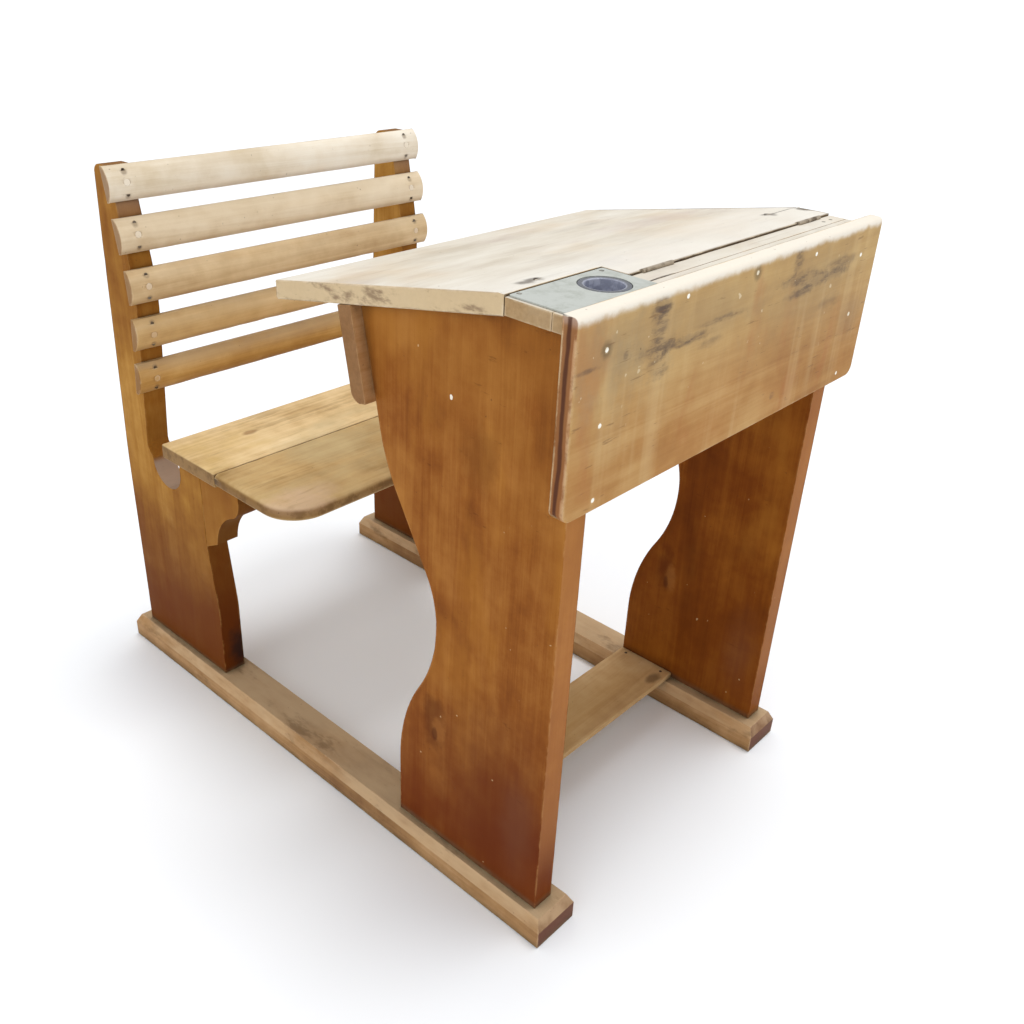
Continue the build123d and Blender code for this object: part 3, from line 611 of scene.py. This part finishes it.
def wear_down(bm, ease, wobble, seed):
    """Rounds the arrises by ease and then dents them by up to wobble."""
    low = [min(vert.co[axis] for vert in bm.verts) for axis in range(3)]
    high = [max(vert.co[axis] for vert in bm.verts) for axis in range(3)]
    bmesh.ops.remove_doubles(bm, verts=bm.verts, dist=1e-6)
    bmesh.ops.dissolve_limit(bm, angle_limit=math.radians(0.6), verts=bm.verts, edges=bm.edges)
    sharp = [
        edge
        for edge in bm.edges
        if len(edge.link_faces) == 2 and edge.calc_face_angle() > math.radians(20) and edge.calc_length() > 0.004
    ]
    mark = bm.faces.layers.int.new("eased")
    made = bmesh.ops.bevel(
        bm, geom=sharp, offset=ease, segments=3, profile=0.5, affect="EDGES", clamp_overlap=True
    )
    for face in made["faces"]:
        face[mark] = 1
    for axis in range(3):
        size = max(v.co[axis] for v in bm.verts) - min(v.co[axis] for v in bm.verts)
        if size > 0.08:
            cut_into_steps(bm, axis, 0.016)
    bm.normal_update()
    shift = Vector((seed, 2.3 * seed, 3.7 * seed))
    moves = []
    for vert in bm.verts:
        if not any(face[mark] for face in vert.link_faces):
            continue
        slow = 0.5 + 0.5 * noise.noise(vert.co * 22 + shift)
        quick = 0.5 + 0.5 * noise.noise(vert.co * 95 + shift)
        chip = max(0.0, noise.noise(vert.co * 48 - shift) - 0.35) * 2.2
        moves.append((vert, vert.normal * (-wobble * (0.5 * slow + 0.35 * quick + chip))))
    for vert, move in moves:
        vert.co += move
    for vert in bm.verts:
        vert.co = Vector([min(max(value, least), most) for value, least, most in zip(vert.co, low, high)])


def worn_board(node, material, ease=0.0018, wobble=0.0007, seed=1):
    """A board that stands for its CAD node, with eased, dented arrises."""
    mesh = NODES[node].data.copy()
    mesh.materials.clear()
    piece = bpy.data.objects.new(node + ".worn", mesh)
    bpy.context.scene.collection.objects.link(piece)
    bm = bmesh.new()
    bm.from_mesh(mesh)
    wear_down(bm, ease, wobble, seed)
    bm.to_mesh(mesh)
    bm.free()
    for polygon in mesh.polygons:
        polygon.use_smooth = True
    mesh.set_sharp_from_angle(angle=math.radians(38))
    shading = piece.modifiers.new("Shading", "WEIGHTED_NORMAL")
    shading.keep_sharp = True
    mesh.materials.append(material)
    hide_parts(node)
    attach(piece, body_of_node(node))
    return piece


def dress(node, material):
    """A better material on a CAD node whose shape is right."""
    mesh_object = NODES[node]
    if not mesh_object.material_slots:
        mesh_object.data.materials.append(material)
    for slot in mesh_object.material_slots:
        slot.material = material


# ---------------------------------------------------------------- the pieces

SIDES = ("right", "left")

VARNISH = ((100, 47, 14), (137, 80, 30), (165, 109, 50))
# A darker copy of VARNISH for the far end: painted shade under the desk
FAR_VARNISH_SHADED = ((92, 44, 12), (122, 64, 18), (150, 90, 30))
PALE_VARNISH = ((130, 78, 22), (160, 110, 42), (188, 140, 68))
RUNNER_TONES = ((128, 90, 56), (168, 128, 84), (200, 162, 118))
BOARD_TONES = ((142, 98, 50), (172, 130, 74), (196, 160, 104))
LID_TONES = ((172, 132, 88), (204, 172, 126), (222, 198, 160))
SEAT_TONES = ((152, 118, 68), (186, 154, 104), (206, 178, 128))
# A lighter copy of SEAT_TONES for the rear plank: painted light
SEAT_REAR_LIT_TONES = ((184, 152, 102), (220, 192, 144), (236, 212, 168))
SLAT_TOP = ((210, 192, 162), (232, 220, 200), (243, 236, 222))
SLAT_BOTTOM = ((160, 114, 58), (190, 146, 82), (212, 170, 108))
APRON_TONES = ((134, 88, 46), (168, 122, 76), (194, 152, 106))
FOOTREST_TONES = ((160, 120, 76), (194, 158, 110), (216, 188, 144))
INNER_TONES = ((140, 98, 58), (176, 134, 88), (200, 162, 114))


def build_desk_boards():
    for seed, side in enumerate(SIDES, start=1):
        # The far (left) end takes the darker copy of the varnish, painted shade.
        tones = VARNISH if side == "right" else FAR_VARNISH_SHADED
        end = wood("desk_end_" + side, "Z", tones, 3.1 * seed, 0.5, desk_end_paint(side), worn_tone=(196, 146, 92),
                   worn=0.5, shine=0.04, rough=(0.42, 0.60))
        worn_board("desk_end_" + side, end, 0.0016, 0.0006, seed)
        runner = wood("runner_" + side, "Y", RUNNER_TONES, 5.7 * seed, 0.5, runner_paint, worn_tone=(206, 172, 136),
                      worn=0.7, rough=(0.50, 0.70))
        worn_board("runner_" + side, runner, 0.0022, 0.0010, 10 + seed)
    board = wood("front_board", "X", BOARD_TONES, 2.2, 0.7, front_board_paint, worn_tone=(230, 208, 168), worn=0.7,
                 rough=(0.46, 0.66), corner_grime_and_shade=0.5)
    worn_board("front_board", board, 0.0012, 0.0008, 21)
    apron = wood("apron", "X", APRON_TONES, 6.4, 0.5, worn_tone=(190, 150, 104))
    worn_board("apron", apron, 0.0016, 0.0006, 22)
    rail = wood("top_rail", "X", LID_TONES, 1.3, 0.5, rail_paint, worn_tone=(226, 206, 176), corner_grime_and_shade=0.8)
    worn_board("top_rail", rail, 0.0009, 0.0004, 23)
    filler = wood("rail_filler", "X", LID_TONES, 8.3, 0.5, bleached_paint, worn_tone=(226, 206, 176), corner_grime_and_shade=0.8)
    worn_board("rail_filler", filler, 0.0009, 0.0004, 24)
    footrest = wood("footrest", "X", FOOTREST_TONES, 4.4, 0.5, footrest_paint)
    worn_board("footrest", footrest, 0.0010, 0.0006, 25)
    inner = wood("inner_wood", "X", INNER_TONES, 7.9, 0.4)
    inner_along = wood("inner_wood_along", "Y", INNER_TONES, 3.9, 0.4)
    worn_board("book_shelf", inner, 0.0008, 0.0003, 26)
    for side in SIDES:
        worn_board("shelf_cleat_" + side, inner_along, 0.0008, 0.0003, 27)
        worn_board("lid_batten_" + side, inner_along, 0.0010, 0.0004, 28)


def build_lid():
    material = wood("lid", "X", LID_TONES, 9.2, 0.6, lid_paint, worn_tone=(232, 214, 186), worn=0.6,
                    rough=(0.50, 0.72))
    worn_board("lid", material, 0.0036, 0.0012, 31)


def build_seat():
    for seed, side in enumerate(SIDES, start=1):
        standard = wood("chair_standard_" + side, "Z", PALE_VARNISH, 4.3 * seed, 0.5, standard_paint(side),
                        worn_tone=(190, 144, 84), worn=0.4, shine=0.04, rough=(0.42, 0.62))
        worn_board("chair_standard_" + side, standard, 0.0020, 0.0008, 40 + seed)
        corbel = wood("seat_corbel_" + side, "Z", PALE_VARNISH, 6.1 * seed, 0.5, corbel_paint,
                      worn_tone=(190, 144, 84), worn=0.4, shine=0.04)
        worn_board("seat_corbel_" + side, corbel, 0.0016, 0.0006, 44 + seed)
    for seed, name in enumerate(("seat_plank_front", "seat_plank_rear"), start=1):
        # The rear plank takes the lighter copy of the seat tones, painted light.
        tones = SEAT_REAR_LIT_TONES if name == "seat_plank_rear" else SEAT_TONES
        plank = wood(name, "X", tones, 2.9 * seed, 0.6, seat_paint, worn_tone=(216, 190, 146), worn=0.5)
        worn_board(name, plank, 0.0022, 0.0011, 50 + seed)
    slats = sorted(node for node in NODES if node.startswith("back_slat_"))
    for index, name in enumerate(slats):
        share = index / (len(slats) - 1)
        tones = [
            tuple(a + (b - a) * share for a, b in zip(top, bottom))
            for top, bottom in zip(SLAT_TOP, SLAT_BOTTOM)
        ]
        slat = wood(name, "X", tones, 1.7 + 2.3 * index, 0.6, slat_paint(name), worn_tone=(228, 206, 170), worn=0.5,
                    rough=(0.42, 0.62))
        worn_board(name, slat, 0.0022, 0.0010, 60 + index)


def build_metalwork():
    steel = metal("nail_steel", (128, 118, 104), (66, 52, 42), 1.0)
    brass = metal("hinge_brass", (166, 152, 132), (104, 90, 72), 2.0, 0.2)
    plate = metal("plate_metal", (184, 188, 182), (168, 172, 164), 3.0, 0.10, (0.42, 0.6), (0.42, 0.72), 0.25)
    # Near-white steel for the front board's nail heads: a painted glint.
    glint_steel = metal("nail_glint_steel", (250, 246, 232), (222, 208, 178), 6.0, 0.2, (0.3, 0.5))
    for node in NODES:
        if node == "front_board_nails":
            dress(node, glint_steel)
        elif node.endswith("_nails") or node.endswith("_screws"):
            dress(node, steel)
        elif node.startswith("hinge_"):
            dress(node, brass)
    dress("inkwell_plate", plate)
    plug = wood("plug_wood", "X", SLAT_TOP, 5.0, 0.4, plug_paint, corner_grime_and_shade=0.5)
    for node in ("slat_plugs", "seat_dowels", "corbel_dowels"):
        dress(node, plug)


def build_inkwell():
    g = Graph("inkwell_glaze")
    stain = g.step(g.noise(g.place, 120.0, 4, 0.6), 0.45, 0.65)
    low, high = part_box("inkwell")
    middle = g.scaled(g.place, (1, 1, 0), (-0.5 * (low.x + high.x), -0.5 * (low.y + high.y), 0))
    reach = g.node("VectorMath", {0: middle}, operation="LENGTH").outputs["Value"]
    dished = g.step(reach, 0.0215, 0.0185)
    rim = g.mix(stain, srgb(50, 54, 66), srgb(84, 88, 100))
    # Painted reflection: the dished inside gets a light grey-blue that stands for the reflections in the dark
    # glaze.
    cup_reflection = g.mix(stain, srgb(150, 154, 172), srgb(182, 186, 202))
    colour = g.mix(dished, rim, cup_reflection)
    roughness = g.add(0.16, g.times(stain, 0.25))
    material = g.finish(colour, roughness, g.noise(g.place, 300.0, 3), 0.12, 0.0003)
    dress("inkwell", material)


# ---------------------------------------------------------------- camera, floor and light


def set_camera():
    azimuth = math.radians(CAMERA_AZIMUTH)
    elevation = math.radians(CAMERA_ELEVATION)
    roll = math.radians(CAMERA_ROLL)
    outward = Vector((math.sin(azimuth), -math.cos(azimuth), 0))
    back = math.cos(elevation) * outward + Vector((0, 0, math.sin(elevation)))
    level = Vector((math.cos(azimuth), math.sin(azimuth), 0))
    upright = back.cross(level)
    right = math.cos(roll) * level + math.sin(roll) * upright
    up = -math.sin(roll) * level + math.cos(roll) * upright
    camera = bpy.data.cameras.new("camera")
    camera.lens = CAMERA_LENS
    camera.sensor_width = CAMERA_SENSOR
    holder = bpy.data.objects.new("camera", camera)
    bpy.context.scene.collection.objects.link(holder)
    turn = Matrix((right, up, back)).transposed().to_4x4()
    holder.matrix_world = Matrix.Translation(CAMERA_PLACE) @ turn
    bpy.context.scene.camera = holder


def lay_floor():
    half = FLOOR_HALF
    bm = bmesh.new()
    corners = ((-half, -half), (half, -half), (half, half), (-half, half))
    bm.faces.new([bm.verts.new((x, y, FLOOR_DROP)) for x, y in corners])
    mesh = bpy.data.meshes.new("floor")
    bm.to_mesh(mesh)
    bm.free()
    floor = bpy.data.objects.new("floor", mesh)
    bpy.context.scene.collection.objects.link(floor)
    g = Graph("floor")
    mesh.materials.append(g.finish(FLOOR_COLOUR, FLOOR_ROUGHNESS))


def hang_light(light, power, shines):
    """Puts a light in the scene, turned to shine along a direction."""
    light.energy = power
    holder = bpy.data.objects.new(light.name, light)
    bpy.context.scene.collection.objects.link(holder)
    holder.rotation_euler = shines.to_track_quat("-Z", "Y").to_euler()
    return holder


def area_light(name, place, target, size, power):
    light = bpy.data.lights.new(name, "AREA")
    light.shape = "DISK"
    light.size = size
    holder = hang_light(light, power, Vector(target) - Vector(place))
    holder.location = place


def sun_light(name, source, angle, power):
    light = bpy.data.lights.new(name, "SUN")
    light.angle = math.radians(angle)
    hang_light(light, power, -Vector(source))


def light_scene():
    world = bpy.data.worlds.new("studio")
    bpy.context.scene.world = world
    world.use_nodes = True
    background = world.node_tree.nodes["Background"]
    background.inputs["Color"].default_value = (1.0, 1.0, 1.0, 1.0)
    background.inputs["Strength"].default_value = SKY_STRENGTH
    sun_light("key", KEY_SOURCE, KEY_ANGLE, KEY_POWER)
    area_light("fill", FILL_PLACE, FILL_TARGET, FILL_SIZE, FILL_POWER)
    bpy.context.scene.view_settings.view_transform = "Standard"


set_camera()
lay_floor()
light_scene()
build_desk_boards()
build_lid()
build_seat()
build_metalwork()
build_inkwell()
